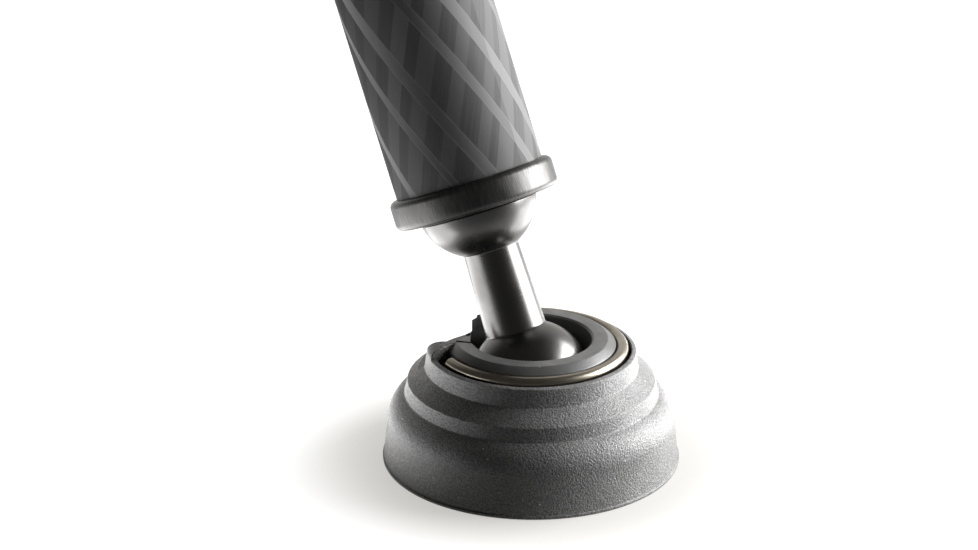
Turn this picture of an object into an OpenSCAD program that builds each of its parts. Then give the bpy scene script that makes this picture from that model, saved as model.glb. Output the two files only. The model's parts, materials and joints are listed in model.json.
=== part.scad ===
// Four-section monopod with twist locks and a ball-jointed rubber foot.
// Millimetres. The origin is the middle of the foot's sole and +Z is up.
// The leg leans towards -X about the middle of the foot's ball.

/* [Stance] */
// Lean of the leg away from upright, in degrees
lean = 23; // [0:0.5:25]
// Length that section 2 is drawn out of section 1
draw_2 = 0; // [0:1:200]
// Length that section 3 is drawn out of section 2
draw_3 = 0; // [0:1:200]
// Length that section 4 is drawn out of section 3
draw_4 = 60; // [0:1:200]

/* [Foot shoe] */
// Radius of the lip round the sole
sole_r = 25; // [24:0.1:28]
// Height of the lip
lip_h = 1.2; // [0.8:0.1:2]
// Distance from the lip in to the skirt
lip_w = 0.3; // [0.2:0.05:0.8]
// Height at which the skirt starts to round over
skirt_h = 7.5; // [6:0.1:8.5]
// Distance that the skirt draws in up to that height
skirt_draft = 0.7; // [0.3:0.05:1]
// Radius of the rounded shoulder above the skirt
shoulder_r = 5; // [4:0.1:6]
// Radius of the small step above the shoulder
step_r = 21.1; // [20.5:0.1:22]
// Height of the small step
step_h = 1.85; // [1.2:0.05:2.4]
// Rise of the sloping ledge from the step to the rim
ledge_h = 2.25; // [1.5:0.05:3]
// Radius of the rim at its root
rim_r = 17.7; // [17.6:0.1:19]
// Height of the rim's outer wall
rim_h = 1.9; // [1.2:0.05:2.4]
// Height of the bevel along the rim's top
bevel_h = 1; // [0.6:0.05:1.4]
// Width of the bevel along the rim's top
bevel_w = 0.65; // [0.4:0.05:0.8]
// Draft of the step's wall and of the rim's wall
wall_draft = 0.55; // [0.2:0.05:0.6]
// Thickness of rubber under the ball seat
sole_t = 1.9; // [1.6:0.1:3]
// Depth of the tread rings in the sole
tread_d = 0.7; // [0.4:0.1:1]
// Width of a tread ring and of the land beside it
tread_w = 2.2; // [1.5:0.1:3]
// Number of tread rings
tread_n = 3; // [1:1:3]

/* [Ball joint] */
// Radius of the ball
ball_r = 10; // [9.5:0.1:10.5]
// Thickness of the cup under the ball
cup_t = 0.9; // [0.7:0.1:1.4]
// Thickness of the seat's floor under the cup
seat_floor = 0.55; // [0.4:0.05:1]
// Outer radius of the seat's split collar
collar_r = 14.2; // [13.8:0.05:14.4]
// Height of the collar above the rim
collar_rise = 2.15; // [1.6:0.05:3]
// Radius of the round along the collar's outer edge
collar_round = 1.7; // [0.8:0.1:1.9]
// Radius of the collar's mouth
mouth_r = 9.95; // [9.8:0.05:10.4]
// Overlap of the seat's lip over the ball
lip_bite = 0.7; // [0.4:0.05:0.9]
// Depth of the groove between collar and rim
groove_d = 2.9; // [2.3:0.05:3.4]
// Direction of the collar's slot, in degrees from +X
slot_turn = 205; // [190:1:220]
// Half the width of the slot, from its middle to the collar's square end
slot_half = 6; // [5.4:0.1:6.6]
// Opening of the rim beyond the square end, measured from the slot's middle
rim_gap = 11.5; // [10:0.1:12.5]
// Width of the web's rounded top, from the rim's wall inwards
web_round = 4.5; // [4:0.1:5]
// Distance from the collar's mouth out to the tip of the web
web_inset = 1.05; // [0.8:0.05:1.3]
// Distance that the web stands into the slot
web_stand = 0.6; // [0.3:0.05:0.9]
// Distance of the web's top below the collar's
web_drop = 0.1; // [0:0.05:0.3]
// Slant of the web from the slot's direction, in degrees
web_slant = 50; // [44:1:56]
// Diameter of the retaining ring's wire
wire_d = 2; // [1.6:0.1:2.1]
// Depth of the ring's seat in the collar
wire_bite = 0.2; // [0.1:0.05:0.3]
// Half the angle of the gap between the ring's ends, in degrees
wire_gap = 43; // [36:1:50]

/* [Ball stud] */
// Radius of the stem where it meets the ball
stem_low_r = 5.1; // [4.7:0.05:5.3]
// Radius of the stem where it meets the dome
stem_top_r = 4.65; // [4.2:0.05:4.9]
// Radius of the dome at the top of the stem
dome_r = 10.1; // [9.5:0.1:11]
// Distance from the ball's middle to the dome's flat top
dome_s = 29.4; // [28.8:0.1:31]
// Distance from the dome's flat top to the middle of its sphere
dome_up = 2.25; // [1.5:0.05:3]
// Radius of the shoulder above the dome
neck_r = 5.2; // [4.9:0.05:6]
// Height of the shoulder above the dome
neck_h = 0.5; // [0.4:0.05:1]
// Radius of the stud's shank, a 3/8 inch thread
shank_r = 4.7625; // [4.7:0.0025:4.8]
// Length of the shank in the leg
shank_l = 14; // [10:0.5:18]

/* [Leg] */
// Radius of the lowest tube
tube_r = 12.5; // [11.5:0.1:13.4]
// Wall of every tube
tube_t = 1.3; // [1:0.05:1.6]
// Gap between the wall of one tube and the next tube inside it
nest_gap = 0.75; // [0.6:0.05:1]
// Length of each tube
tube_l = 400; // [360:1:440]
// Radius of the flange on the end plug
flange_r = 13.9; // [13.6:0.1:15]
// Thickness of the flange
flange_t = 5; // [4:0.1:6.5]
// Radius of the round on both edges of the flange
flange_round = 1.1; // [0.5:0.1:1.6]
// Depth of the plug in the tube
plug_l = 28; // [22:0.5:36]
// Length of a guide bush at the top of a tube
guide_l = 20; // [14:0.5:28]
// Gap left between two locks, or lock and flange, when shut
shut_gap = 1; // [0.6:0.1:3]

/* [Twist locks] */
// Length of a turning ring
ring_l = 36; // [32:0.5:44]
// Thickness of the ring's wall
ring_t = 1.8; // [1.4:0.1:2.4]
// Thickness of the sleeve that is bonded to the tube
sleeve_t = 1.6; // [1.3:0.1:2.2]
// Thickness of the ring's end wall
ring_end = 3; // [2.6:0.1:4]
// Distance from the ring's end to the end of the tube in it
lock_drop = 20; // [17:0.5:22]
// Height of the fixed trim above the ring
trim_h = 3; // [2:0.1:5]
// Gap between the ring and the fixed trim
trim_gap = 0.4; // [0.3:0.05:0.8]
// Thickness of the rubber grip on the ring
grip_t = 2; // [1.6:0.1:2.6]
// Bare length at each end of the rubber grip
grip_inset = 2; // [1:0.1:4]
// Number of flutes round a grip
flute_n = 22; // [12:1:28]
// Radius of a flute
flute_r = 1.5; // [1:0.1:2]
// Depth of a flute in the grip
flute_d = 1; // [0.6:0.1:1.4]
// Thickness of the taper bush at its thin end
bush_thin = 0.8; // [0.6:0.05:0.9]
// Width of the split in a taper bush
bush_split = 1.5; // [1:0.1:3]
// Radial width of the dust seal
seal_w = 1.6; // [1.2:0.1:2]
// Height of the dust seal
seal_h = 1.6; // [1.2:0.1:1.8]

/* [Hand grip and top] */
// Length of the foam hand grip
foam_l = 150; // [120:1:180]
// Thickness of the foam
foam_t = 5.3; // [4:0.1:7]
// Round at the ends of the foam
foam_round = 2.5; // [1:0.1:3.5]
// Height of the trim ring at each end of the foam
end_ring_h = 4; // [3:0.1:6]
// Thickness of those trim rings
end_ring_t = 3.6; // [3:0.1:5]
// Depth of the top casting in the tube
spigot_l = 22; // [16:0.5:30]
// Height of the casting's collar
head_h = 12; // [9:0.5:16]
// Height of the waist above the collar
waist_h = 14; // [11:0.5:20]
// Radius of the waist
waist_r = 15; // [13:0.1:17]
// Height of the flange under the camera plate
top_flange_h = 6; // [4:0.1:8]
// Radius of the flange under the camera plate
top_flange_r = 23; // [21:0.1:26]
// Radius of the camera plate
plate_r = 30; // [28:0.1:34]
// Thickness of the camera plate
plate_t = 8; // [7:0.1:11]
// Thickness of the pad on the plate
pad_t = 1.5; // [1:0.1:2.5]
// Inner radius of the pad
pad_in_r = 11; // [10:0.1:13]
// Width of plate left bare round the pad
pad_inset = 3; // [1:0.1:4]
// Radius of the camera screw, a 3/8 inch thread
screw_r = 4.7625; // [4.7:0.0025:4.8]
// Length of the camera screw above the pad
screw_l = 9.5; // [8:0.1:12]
// Depth of the camera screw below the plate
screw_root = 12; // [8:0.5:16]
// Radius of the collar on the camera screw
screw_collar_r = 8; // [7:0.1:9]
// Height of that collar
screw_collar_h = 2; // [1.5:0.1:2.5]
// Radius of a grub screw in the plate
grub_r = 2; // [1.5:0.1:2.5]
// Radius of the circle of grub screws
grub_pitch_r = 19; // [17:0.1:20]
// Number of grub screws
grub_n = 3; // [2:1:4]

/* [Fits] */
// Clearance between pieces that turn or slide on each other
run_fit = 0.08; // [0.03:0.01:0.1]
// Clearance between pieces that are bonded or pressed together
bond_fit = 0.03; // [0.02:0.01:0.06]
// Room between moving pieces that only pass each other
pass_gap = 0.4; // [0.3:0.05:0.6]

/* [Hidden] */
$fn = 96;
FLUTE_FN = 32;
SECTIONS = 4;
far = 60;
// Overlap of a cut beyond the surface that it opens
over = 1;
// Round on small edges
edge = 0.3;

// Heights of the shoe's profile above the sole
skirt_low_r = sole_r - lip_w;
skirt_top_r = skirt_low_r - skirt_draft;
shoulder_x = skirt_top_r - shoulder_r;
shoulder_end = acos((step_r - shoulder_x) / shoulder_r);
step_z = skirt_h + shoulder_r * sin(shoulder_end);
ledge_z = step_z + step_h;
rim_z = ledge_z + ledge_h;
bevel_z = rim_z + rim_h;
rim_top = bevel_z + bevel_h;
rim_in_r = rim_r - wall_draft - bevel_w;

// Ball, cup, seat and ring
ball_z = sole_t + bond_fit + seat_floor + run_fit + cup_t + run_fit + ball_r;
ball_room = ball_r + run_fit;
cup_room = ball_room + cup_t + run_fit;
seat_r = rim_in_r - bond_fit;
groove_z = rim_top - groove_d;
collar_top = rim_top + collar_rise;
lip_r = ball_r - lip_bite;
lip_z = ball_z + sqrt(ball_room * ball_room - lip_r * lip_r);
wire_r = wire_d / 2;
wire_mid_r = collar_r - wire_bite + wire_r;
wire_z = collar_top - collar_round;
web_tip = [mouth_r + web_inset, slot_half - web_stand];
web_end = web_tip + far * [cos(web_slant), sin(web_slant)];
web_top = collar_top - web_drop;
web_out_r = rim_r - wall_draft;

// Stations along the leg, measured from the ball's middle
flange_s = dome_s + neck_h + bond_fit;
tube_s4 = flange_s + flange_t;
lock_l = ring_l + trim_gap + trim_h;
lock_s3 = tube_s4 + shut_gap + draw_4;
lock_s2 = lock_s3 + lock_l + shut_gap + draw_3;
lock_s1 = lock_s2 + lock_l + shut_gap + draw_2;
LOCK_S = [lock_s1, lock_s2, lock_s3];
TUBE_S = [lock_s1 + lock_drop, lock_s2 + lock_drop, lock_s3 + lock_drop, tube_s4];
leg_top = TUBE_S[0] + tube_l;
foam_s = leg_top - 2 * end_ring_h - foam_l;
waist_s = leg_top + head_h;
waist_round = waist_h / 5;
waist_straight = waist_h / 2;
top_flange_s = waist_s + waist_h;
plate_s = top_flange_s + top_flange_h;
pad_s = plate_s + plate_t;
screw_s = pad_s + pad_t;

LOCKS = [1:SECTIONS - 1];
TUBES = [1:SECTIONS];
GUIDES = [2:SECTIONS];
LOCK_NODES = ["lock_sleeve_", "taper_bush_", "lock_ring_", "lock_grip_", "dust_seal_"];

// Outer radius of tube n, counted from the top
function tube_out(n) = tube_r + (SECTIONS - n) * (tube_t + nest_gap);
// Inner radius of tube n
function tube_in(n) = tube_out(n) - tube_t;
// Outer radius of the sleeve and of the turning ring of lock n
function sleeve_out(n) = tube_out(n) + bond_fit + sleeve_t;
function ring_out(n) = sleeve_out(n) + run_fit + ring_t;

function unit(v) = v / norm(v);
function flat2(p) = [p.x, p.y];
function near_turn(a) = a > 180 ? a - 360 : a < -180 ? a + 360 : a;
function arc(mid, r, from, turn, n = 8) =
    [for (i = [0:n]) mid + r * [cos(from + turn * i / n), sin(from + turn * i / n)]];

// The corner b between a and c, rounded by radius r
function corner(a, b, c, r) =
    let (u = unit(a - b))
    let (w = unit(c - b))
    let (half = acos(u * w) / 2)
    let (mid = b + unit(u + w) * r / sin(half))
    let (p = b + u * r / tan(half) - mid)
    let (q = b + w * r / tan(half) - mid)
    let (from = atan2(p.y, p.x))
    arc(mid, r, from, near_turn(atan2(q.y, q.x) - from), 6);

// A closed outline from points [x, y, r], each rounded by its own r
function rounded(pts) = [
    for (i = [0:len(pts) - 1])
        let (a = flat2(pts[(i + len(pts) - 1) % len(pts)]))
        let (b = flat2(pts[i]))
        let (c = flat2(pts[(i + 1) % len(pts)]))
        each (pts[i].z > 0 ? corner(a, b, c, pts[i].z) : [b])
];

module lathe(outline) {
    rotate_extrude() polygon(outline);
}

module pipe(in_r, out_r, from, to) {
    translate([0, 0, from]) difference() {
        cylinder(r = out_r, h = to - from);
        translate([0, 0, -over]) cylinder(r = in_r, h = to - from + 2 * over);
    }
}

// Puts a piece that is drawn along +Z from the ball's middle on the leaning leg
module on_leg() {
    translate([0, 0, ball_z]) rotate([0, -lean, 0]) children();
}

// Puts a piece that is drawn along +X into the slot's direction
module along_slot() {
    rotate([0, 0, slot_turn]) children();
}

// The foot

module shoe_outside() {
    shoulder = arc([shoulder_x, skirt_h], shoulder_r, 0, shoulder_end, 10);
    low = rounded([
        [0, 0, 0],
        [sole_r, 0, edge],
        [sole_r, lip_h, edge],
        [skirt_low_r, lip_h, 0],
        [skirt_top_r, skirt_h, 0],
        [0, skirt_h, 0]
    ]);
    high = rounded([
        [0, step_z, 0],
        [step_r, step_z, 0],
        [step_r - wall_draft, ledge_z, edge],
        [rim_r, rim_z, edge],
        [rim_r - wall_draft, bevel_z, edge],
        [rim_in_r, rim_top, edge / 2],
        [rim_in_r - over, rim_top, 0],
        [0, rim_top, 0]
    ]);
    lathe(low);
    lathe(concat([[0, skirt_h]], shoulder, [[0, step_z]]));
    lathe(high);
}

// The rim stops on both sides of the slot
module rim_opening() {
    along_slot() translate([0, -rim_gap, rim_z]) cube([far, rim_gap + web_tip.y, far]);
}

// The rim's end turns in to meet the collar's slanted end, under a rounded top
module rim_web() {
    rise = web_top - bevel_z;
    top = [for (t = [0:10:90]) [web_out_r + web_round * (cos(t) - 1), bevel_z + rise * sin(t)]];
    intersection() {
        along_slot() linear_extrude(far) polygon([web_tip, [far, web_tip.y], web_end]);
        lathe(concat([[0, groove_z + bond_fit], [web_out_r, groove_z + bond_fit]], top, [[0, web_top]]));
    }
}

module foot_shoe() {
    color("dimgray") difference() {
        union() {
            difference() {
                shoe_outside();
                translate([0, 0, sole_t]) cylinder(r = rim_in_r, h = far);
                rim_opening();
            }
            rim_web();
        }
        for (i = [1:tread_n])
            pipe(2 * i * tread_w, (2 * i + 1) * tread_w, -over, tread_d);
    }
}

module collar_slot() {
    along_slot() linear_extrude(far) polygon([
        [0, -slot_half],
        [far, -slot_half],
        [far, web_end.y],
        web_end - [2 * bond_fit, -2 * bond_fit],
        web_tip - [2 * bond_fit, -2 * bond_fit],
        [0, web_tip.y]
    ]);
}

// Half of the section of the room for the ball, the cup and the stem
module seat_room() {
    intersection() {
        union() {
            translate([0, ball_z]) circle(r = ball_room);
            translate([0, ball_z]) difference() {
                circle(r = cup_room);
                translate([-far, 0]) square([2 * far, far]);
            }
            polygon([
                [-over, ball_z],
                [lip_r, lip_z],
                [mouth_r, collar_top - edge],
                [mouth_r + edge, collar_top],
                [mouth_r + edge, collar_top + over],
                [-over, collar_top + over]
            ]);
        }
        square(far);
    }
}

module split_collar() {
    difference() {
        lathe(rounded([
            [0, groove_z - over, 0],
            [collar_r, groove_z - over, 0],
            [collar_r, collar_top, collar_round],
            [0, collar_top, 0]
        ]));
        collar_slot();
        translate([0, 0, wire_z]) rotate_extrude() translate([wire_mid_r, 0]) circle(r = wire_r + bond_fit);
    }
}

module ball_seat() {
    color("gray") difference() {
        union() {
            lathe(rounded([
                [0, sole_t + bond_fit, 0],
                [seat_r, sole_t + bond_fit, edge],
                [seat_r, groove_z, edge],
                [0, groove_z, 0]
            ]));
            split_collar();
        }
        rotate_extrude() seat_room();
    }
}

module ball_cup() {
    color("ivory") translate([0, 0, ball_z]) difference() {
        sphere(r = ball_room + cup_t);
        sphere(r = ball_room);
        translate([-far / 2, -far / 2, -pass_gap]) cube(far);
    }
}

module retaining_ring() {
    color("tan") translate([0, 0, wire_z]) rotate([0, 0, slot_turn + wire_gap])
        rotate_extrude(angle = 360 - 2 * wire_gap) translate([wire_mid_r, 0]) circle(r = wire_r, $fn = FLUTE_FN);
}

module ball_stud() {
    stem_s = sqrt(ball_r * ball_r - stem_low_r * stem_low_r);
    dome_mid = dome_s + dome_up;
    dome_low = dome_mid - sqrt(dome_r * dome_r - stem_top_r * stem_top_r);
    color("lightsteelblue") on_leg() {
        sphere(r = ball_r);
        translate([0, 0, stem_s - over])
            cylinder(r1 = stem_low_r, r2 = stem_top_r, h = dome_low - stem_s + 2 * over);
        difference() {
            translate([0, 0, dome_mid]) sphere(r = dome_r);
            translate([-far / 2, -far / 2, dome_s]) cube(far);
        }
        translate([0, 0, dome_s - over]) cylinder(r = neck_r, h = neck_h + over);
        translate([0, 0, dome_s - over]) cylinder(r = shank_r, h = neck_h + shank_l + over);
    }
}

// The leg

module leg_end_plug() {
    plug_r = tube_in(SECTIONS) - bond_fit;
    bore_l = neck_h + shank_l + pass_gap;
    color("darkslategray") on_leg() difference() {
        lathe(rounded([
            [0, flange_s, 0],
            [flange_r, flange_s, flange_round],
            [flange_r, tube_s4, flange_round],
            [plug_r, tube_s4, 0],
            [plug_r, tube_s4 + plug_l, 2 * edge],
            [0, tube_s4 + plug_l, 0]
        ]));
        translate([0, 0, flange_s - over]) cylinder(r = shank_r + run_fit, h = bore_l + over);
    }
}

module tube(n) {
    color("slategray") on_leg() pipe(tube_in(n), tube_out(n), TUBE_S[n - 1], TUBE_S[n - 1] + tube_l);
}

module guide_bush(n) {
    top = TUBE_S[n - 1] + tube_l;
    color("ivory") on_leg() pipe(tube_out(n) + bond_fit, tube_in(n - 1) - run_fit, top - guide_l, top);
}

// The twist locks, lock n at the lower end of tube n

module lock_sleeve(n) {
    base = LOCK_S[n - 1];
    low = base + ring_end + pass_gap;
    seat = base + lock_drop;
    top = base + ring_l + trim_gap;
    color("darkslategray") on_leg() lathe(rounded([
        [tube_out(n) + bond_fit, low + ring_end, 0],
        [sleeve_out(n), low + ring_end, edge],
        [sleeve_out(n), top, 0],
        [ring_out(n), top, 2 * edge],
        [ring_out(n), top + trim_h, 2 * edge],
        [tube_out(n) + bond_fit, top + trim_h, 0],
        [tube_out(n) + bond_fit, seat, 0],
        [tube_out(n + 1) + run_fit + bush_thin + bond_fit, seat - bond_fit, 0]
    ]));
}

module taper_bush(n) {
    low = LOCK_S[n - 1] + ring_end + pass_gap;
    seat = LOCK_S[n - 1] + lock_drop;
    in_r = tube_out(n + 1) + run_fit;
    color("ivory") on_leg() difference() {
        lathe([
            [in_r, low],
            [tube_out(n) + sleeve_t / 2, low],
            [tube_out(n) + sleeve_t / 2, low + ring_end - edge],
            [tube_out(n), low + ring_end - edge],
            [in_r + bush_thin, seat - edge],
            [in_r, seat - edge]
        ]);
        translate([0, -bush_split / 2, low - over]) cube([far, bush_split, far]);
    }
}

module lock_ring(n) {
    base = LOCK_S[n - 1];
    in_r = tube_out(n + 1) + pass_gap;
    seal_room = tube_out(n + 1) + run_fit + seal_w + bond_fit;
    seal_z = base + (ring_end - seal_h) / 2;
    color("darkslategray") on_leg() difference() {
        lathe(rounded([
            [in_r, base, 0],
            [ring_out(n), base, 2 * edge],
            [ring_out(n), base + ring_l, edge],
            [sleeve_out(n) + run_fit, base + ring_l, 0],
            [sleeve_out(n) + run_fit, base + ring_end, 0],
            [in_r, base + ring_end, 0]
        ]));
        pipe(in_r - over, seal_room, seal_z - bond_fit, seal_z + seal_h + bond_fit);
    }
}

module lock_grip(n) {
    base = LOCK_S[n - 1] + grip_inset;
    top = LOCK_S[n - 1] + ring_l - grip_inset;
    in_r = ring_out(n) + bond_fit;
    out_r = in_r + grip_t;
    color("dimgray") on_leg() difference() {
        lathe(rounded([
            [in_r, base, 0],
            [out_r, base, grip_t / 2],
            [out_r, top, grip_t / 2],
            [in_r, top, 0]
        ]));
        for (i = [1:flute_n])
            rotate([0, 0, 360 * i / flute_n]) translate([out_r + flute_r - flute_d, 0, base - over])
                cylinder(r = flute_r, h = ring_l, $fn = FLUTE_FN);
    }
}

module dust_seal(n) {
    in_r = tube_out(n + 1) + run_fit;
    low = LOCK_S[n - 1] + (ring_end - seal_h) / 2;
    color("black") on_leg() pipe(in_r, in_r + seal_w, low, low + seal_h);
}

// The hand grip and the top

module grip_sleeve() {
    low = foam_s + end_ring_h;
    in_r = tube_out(1) + bond_fit;
    color("dimgray") on_leg() lathe(rounded([
        [in_r, low, 0],
        [in_r + foam_t, low, foam_round],
        [in_r + foam_t, low + foam_l, foam_round],
        [in_r, low + foam_l, 0]
    ]));
}

module end_ring(low) {
    in_r = tube_out(1) + bond_fit;
    color("darkslategray") on_leg() lathe(rounded([
        [in_r, low, 0],
        [in_r + end_ring_t, low, 2 * edge],
        [in_r + end_ring_t, low + end_ring_h, 2 * edge],
        [in_r, low + end_ring_h, 0]
    ]));
}

module grip_ring_lower() {
    end_ring(foam_s);
}

module grip_ring_upper() {
    end_ring(leg_top - end_ring_h);
}

module top_casting() {
    spigot_r = tube_in(1) - bond_fit;
    head_r = tube_out(1) + end_ring_t;
    color("darkslategray") on_leg() difference() {
        lathe(rounded([
            [0, leg_top - spigot_l, 0],
            [spigot_r, leg_top - spigot_l, 2 * edge],
            [spigot_r, leg_top, 0],
            [head_r, leg_top, 2 * edge],
            [head_r, waist_s, 3 * edge],
            [waist_r, waist_s + waist_h - waist_straight - waist_round, waist_round],
            [waist_r, top_flange_s - waist_round, waist_round],
            [top_flange_r, top_flange_s, 2 * edge],
            [top_flange_r, plate_s, edge],
            [0, plate_s, 0]
        ]));
        translate([0, 0, plate_s - screw_root - pass_gap])
            cylinder(r = screw_r + bond_fit, h = screw_root + pass_gap + over);
    }
}

module around_plate() {
    for (i = [1:grub_n])
        rotate([0, 0, 360 * i / grub_n]) translate([grub_pitch_r, 0, 0]) children();
}

module camera_plate() {
    color("darkslategray") on_leg() difference() {
        lathe(rounded([
            [0, plate_s, 0],
            [plate_r, plate_s, 5 * edge],
            [plate_r, pad_s, 3 * edge],
            [0, pad_s, 0]
        ]));
        translate([0, 0, plate_s - over]) cylinder(r = screw_r + bond_fit, h = plate_t + 2 * over);
        translate([0, 0, pad_s - screw_collar_h]) cylinder(r = screw_collar_r + bond_fit, h = plate_t);
        around_plate() translate([0, 0, plate_s - over])
            cylinder(r = grub_r + bond_fit, h = plate_t + 2 * over);
    }
}

module plate_pad() {
    color("black") on_leg() difference() {
        pipe(pad_in_r, plate_r - pad_inset, pad_s, screw_s);
        around_plate() translate([0, 0, pad_s - over])
            cylinder(r = grub_r + edge, h = pad_t + 2 * over);
    }
}

module camera_screw() {
    color("silver") on_leg() {
        translate([0, 0, plate_s - screw_root])
            cylinder(r = screw_r, h = screw_root + plate_t + pad_t + screw_l);
        translate([0, 0, pad_s - screw_collar_h + bond_fit]) cylinder(r = screw_collar_r, h = screw_collar_h);
    }
}

module set_screws() {
    color("silver") on_leg() around_plate() translate([0, 0, plate_s + bond_fit])
        cylinder(r = grub_r, h = plate_t - bond_fit);
}

foot_shoe();
ball_seat();
ball_cup();
retaining_ring();
ball_stud();
leg_end_plug();
for (n = TUBES)
    tube(n);
for (n = GUIDES)
    guide_bush(n);
for (n = LOCKS) {
    lock_sleeve(n);
    taper_bush(n);
    lock_ring(n);
    lock_grip(n);
    dust_seal(n);
}
grip_sleeve();
grip_ring_lower();
grip_ring_upper();
top_casting();
camera_plate();
plate_pad();
camera_screw();
set_screws();
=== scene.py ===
"""Looks of a four-section monopod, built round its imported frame. All lengths are in metres."""

import json
import math

import bmesh
import bpy
from mathutils import Matrix, Vector, noise


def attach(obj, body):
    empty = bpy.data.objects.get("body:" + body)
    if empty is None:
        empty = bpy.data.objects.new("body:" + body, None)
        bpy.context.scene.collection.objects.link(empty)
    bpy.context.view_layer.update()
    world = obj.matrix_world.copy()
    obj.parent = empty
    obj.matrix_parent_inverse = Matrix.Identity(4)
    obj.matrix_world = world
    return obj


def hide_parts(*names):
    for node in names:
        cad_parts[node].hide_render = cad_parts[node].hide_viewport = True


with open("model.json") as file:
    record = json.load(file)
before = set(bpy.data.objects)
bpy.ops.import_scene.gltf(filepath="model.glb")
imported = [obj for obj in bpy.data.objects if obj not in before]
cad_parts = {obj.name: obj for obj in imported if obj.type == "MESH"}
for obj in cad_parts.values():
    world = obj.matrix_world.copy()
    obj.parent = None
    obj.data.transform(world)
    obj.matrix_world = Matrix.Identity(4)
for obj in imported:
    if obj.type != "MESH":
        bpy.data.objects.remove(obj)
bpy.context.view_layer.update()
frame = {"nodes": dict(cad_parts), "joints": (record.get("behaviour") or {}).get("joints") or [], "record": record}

MM = 0.001

# The leg's own frame, from the foot's joints: its origin is the ball's middle and +Z runs up the leg
JOINTS = {joint["name"]: joint for joint in frame["joints"]}
BALL = Vector(JOINTS["foot_turn"]["pos_m"])
LEG_AXIS = Vector(JOINTS["foot_turn"]["axis"])
LEAN = math.atan2(-LEG_AXIS.x, LEG_AXIS.z)
LEG = Matrix.Translation(BALL) @ Matrix.Rotation(-LEAN, 4, "Y")


def leg_radius(node):
    """Largest radius of a CAD node about the leg's axis."""
    to_leg = LEG.inverted()
    return max((to_leg @ vertex.co).xy.length for vertex in frame["nodes"][node].data.vertices)


# Mesh building

# Steps round a whole turn and round a small fillet
STEPS = 240
FILLET_STEPS = 5
# Distance under which two vertices are one
TINY = 1e-7
# Angle between faces from which the edge between them is shaded sharp
CREASE = math.radians(33)


def arc_points(middle, radius, start, turn, steps):
    """Points on an arc in a plane."""
    return [
        middle + radius * Vector((math.cos(start + turn * i / steps), math.sin(start + turn * i / steps)))
        for i in range(steps + 1)
    ]


def arc_corners(middle, radius, start, turn, steps):
    """The same points as corners that take no fillet."""
    return [(point.x, point.y, 0) for point in arc_points(middle, radius, start, turn, steps)]


def rounded(corners, steps=FILLET_STEPS):
    """A closed outline from (radius, height, fillet) corners, each rounded by its own fillet."""
    outline = []
    for i, (radius, height, fillet) in enumerate(corners):
        here = Vector((radius, height))
        if not fillet:
            outline.append(here)
            continue
        to_last = (Vector(corners[i - 1][:2]) - here).normalized()
        to_next = (Vector(corners[(i + 1) % len(corners)][:2]) - here).normalized()
        half = to_last.angle(to_next) / 2
        middle = here + (to_last + to_next).normalized() * fillet / math.sin(half)
        first = here + to_last * fillet / math.tan(half) - middle
        last = here + to_next * fillet / math.tan(half) - middle
        start = math.atan2(first.y, first.x)
        turn = (math.atan2(last.y, last.x) - start + math.pi) % (2 * math.pi) - math.pi
        outline += arc_points(middle, fillet, start, turn, steps)
    return outline


def bridge(mesh, first, second):
    """Faces between two closed rows of vertices; a row of one vertex is a point."""
    count = max(len(first), len(second))
    for i in range(count):
        j = (i + 1) % count
        corners = [first[i % len(first)], first[j % len(first)]]
        corners += [second[j % len(second)], second[i % len(second)]]
        corners = list(dict.fromkeys(corners))
        if len(corners) > 2:
            mesh.faces.new(corners)


def stack(rings, steps=STEPS):
    """A closed mesh about Z from (radius, height) rings; a radius may be a function of the angle."""
    mesh = bmesh.new()
    angles = [2 * math.pi * i / steps for i in range(steps)]
    rows = []
    for radius, height in rings:
        size = radius if callable(radius) else lambda angle, fixed=radius: fixed
        if size(0) < TINY:
            rows.append([mesh.verts.new((0, 0, height))])
            continue
        spots = [(size(a) * math.cos(a), size(a) * math.sin(a), height) for a in angles]
        rows.append([mesh.verts.new(spot) for spot in spots])
    for first, second in zip(rows, rows[1:] + rows[:1]):
        bridge(mesh, first, second)
    return mesh


def quarter_round(size):
    """Steps of a rounded edge: how far each one is from the end, and how far it is set in."""
    turns = [math.pi / 2 * i / FILLET_STEPS for i in range(FILLET_STEPS + 1)]
    return [(size * (1 - math.cos(turn)), size * (1 - math.sin(turn))) for turn in turns]


def skin(mesh, rows):
    """Faces over a bar whose sections are these rows of vertices, with both ends closed."""
    for first, second in zip(rows, rows[1:]):
        bridge(mesh, first, second)
    mesh.faces.new(rows[0])
    mesh.faces.new(rows[-1])


def ring_sweep(outline, start, end, round_off):
    """A closed bar of this (radius, height) section about Z, with softly rounded ends.

    start and end give the angle at which the bar ends, for each radius of the section."""
    mesh = bmesh.new()
    count = len(outline)
    tangents = [(outline[(i + 1) % count] - outline[i - 1]).normalized() for i in range(count)]
    area = sum(a.cross(b) for a, b in zip(outline, outline[1:] + outline[:1]))
    side = 1 if area > 0 else -1
    inward = [side * Vector((-t.y, t.x)) for t in tangents]
    ends = quarter_round(round_off)
    sections = [(0, shift, inset) for shift, inset in ends]
    sections += [(i / STEPS, 0, 0) for i in range(1, STEPS)]
    sections += [(1, -shift, inset) for shift, inset in reversed(ends)]
    rows = []
    for share, shift, inset in sections:
        row = []
        for point, normal in zip(outline, inward):
            angle = start(point.x) + share * (end(point.x) - start(point.x)) + shift / point.x
            at = point + normal * inset
            row.append(mesh.verts.new((at.x * math.cos(angle), at.x * math.sin(angle), at.y)))
        rows.append(row)
    skin(mesh, rows)
    return mesh


def close_up(mesh):
    """Welds the double vertices of a closed mesh and turns its faces outwards."""
    bmesh.ops.remove_doubles(mesh, verts=mesh.verts, dist=TINY)
    bmesh.ops.recalc_face_normals(mesh, faces=mesh.faces)
    if mesh.calc_volume(signed=True) < 0:
        bmesh.ops.reverse_faces(mesh, faces=mesh.faces)


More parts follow.
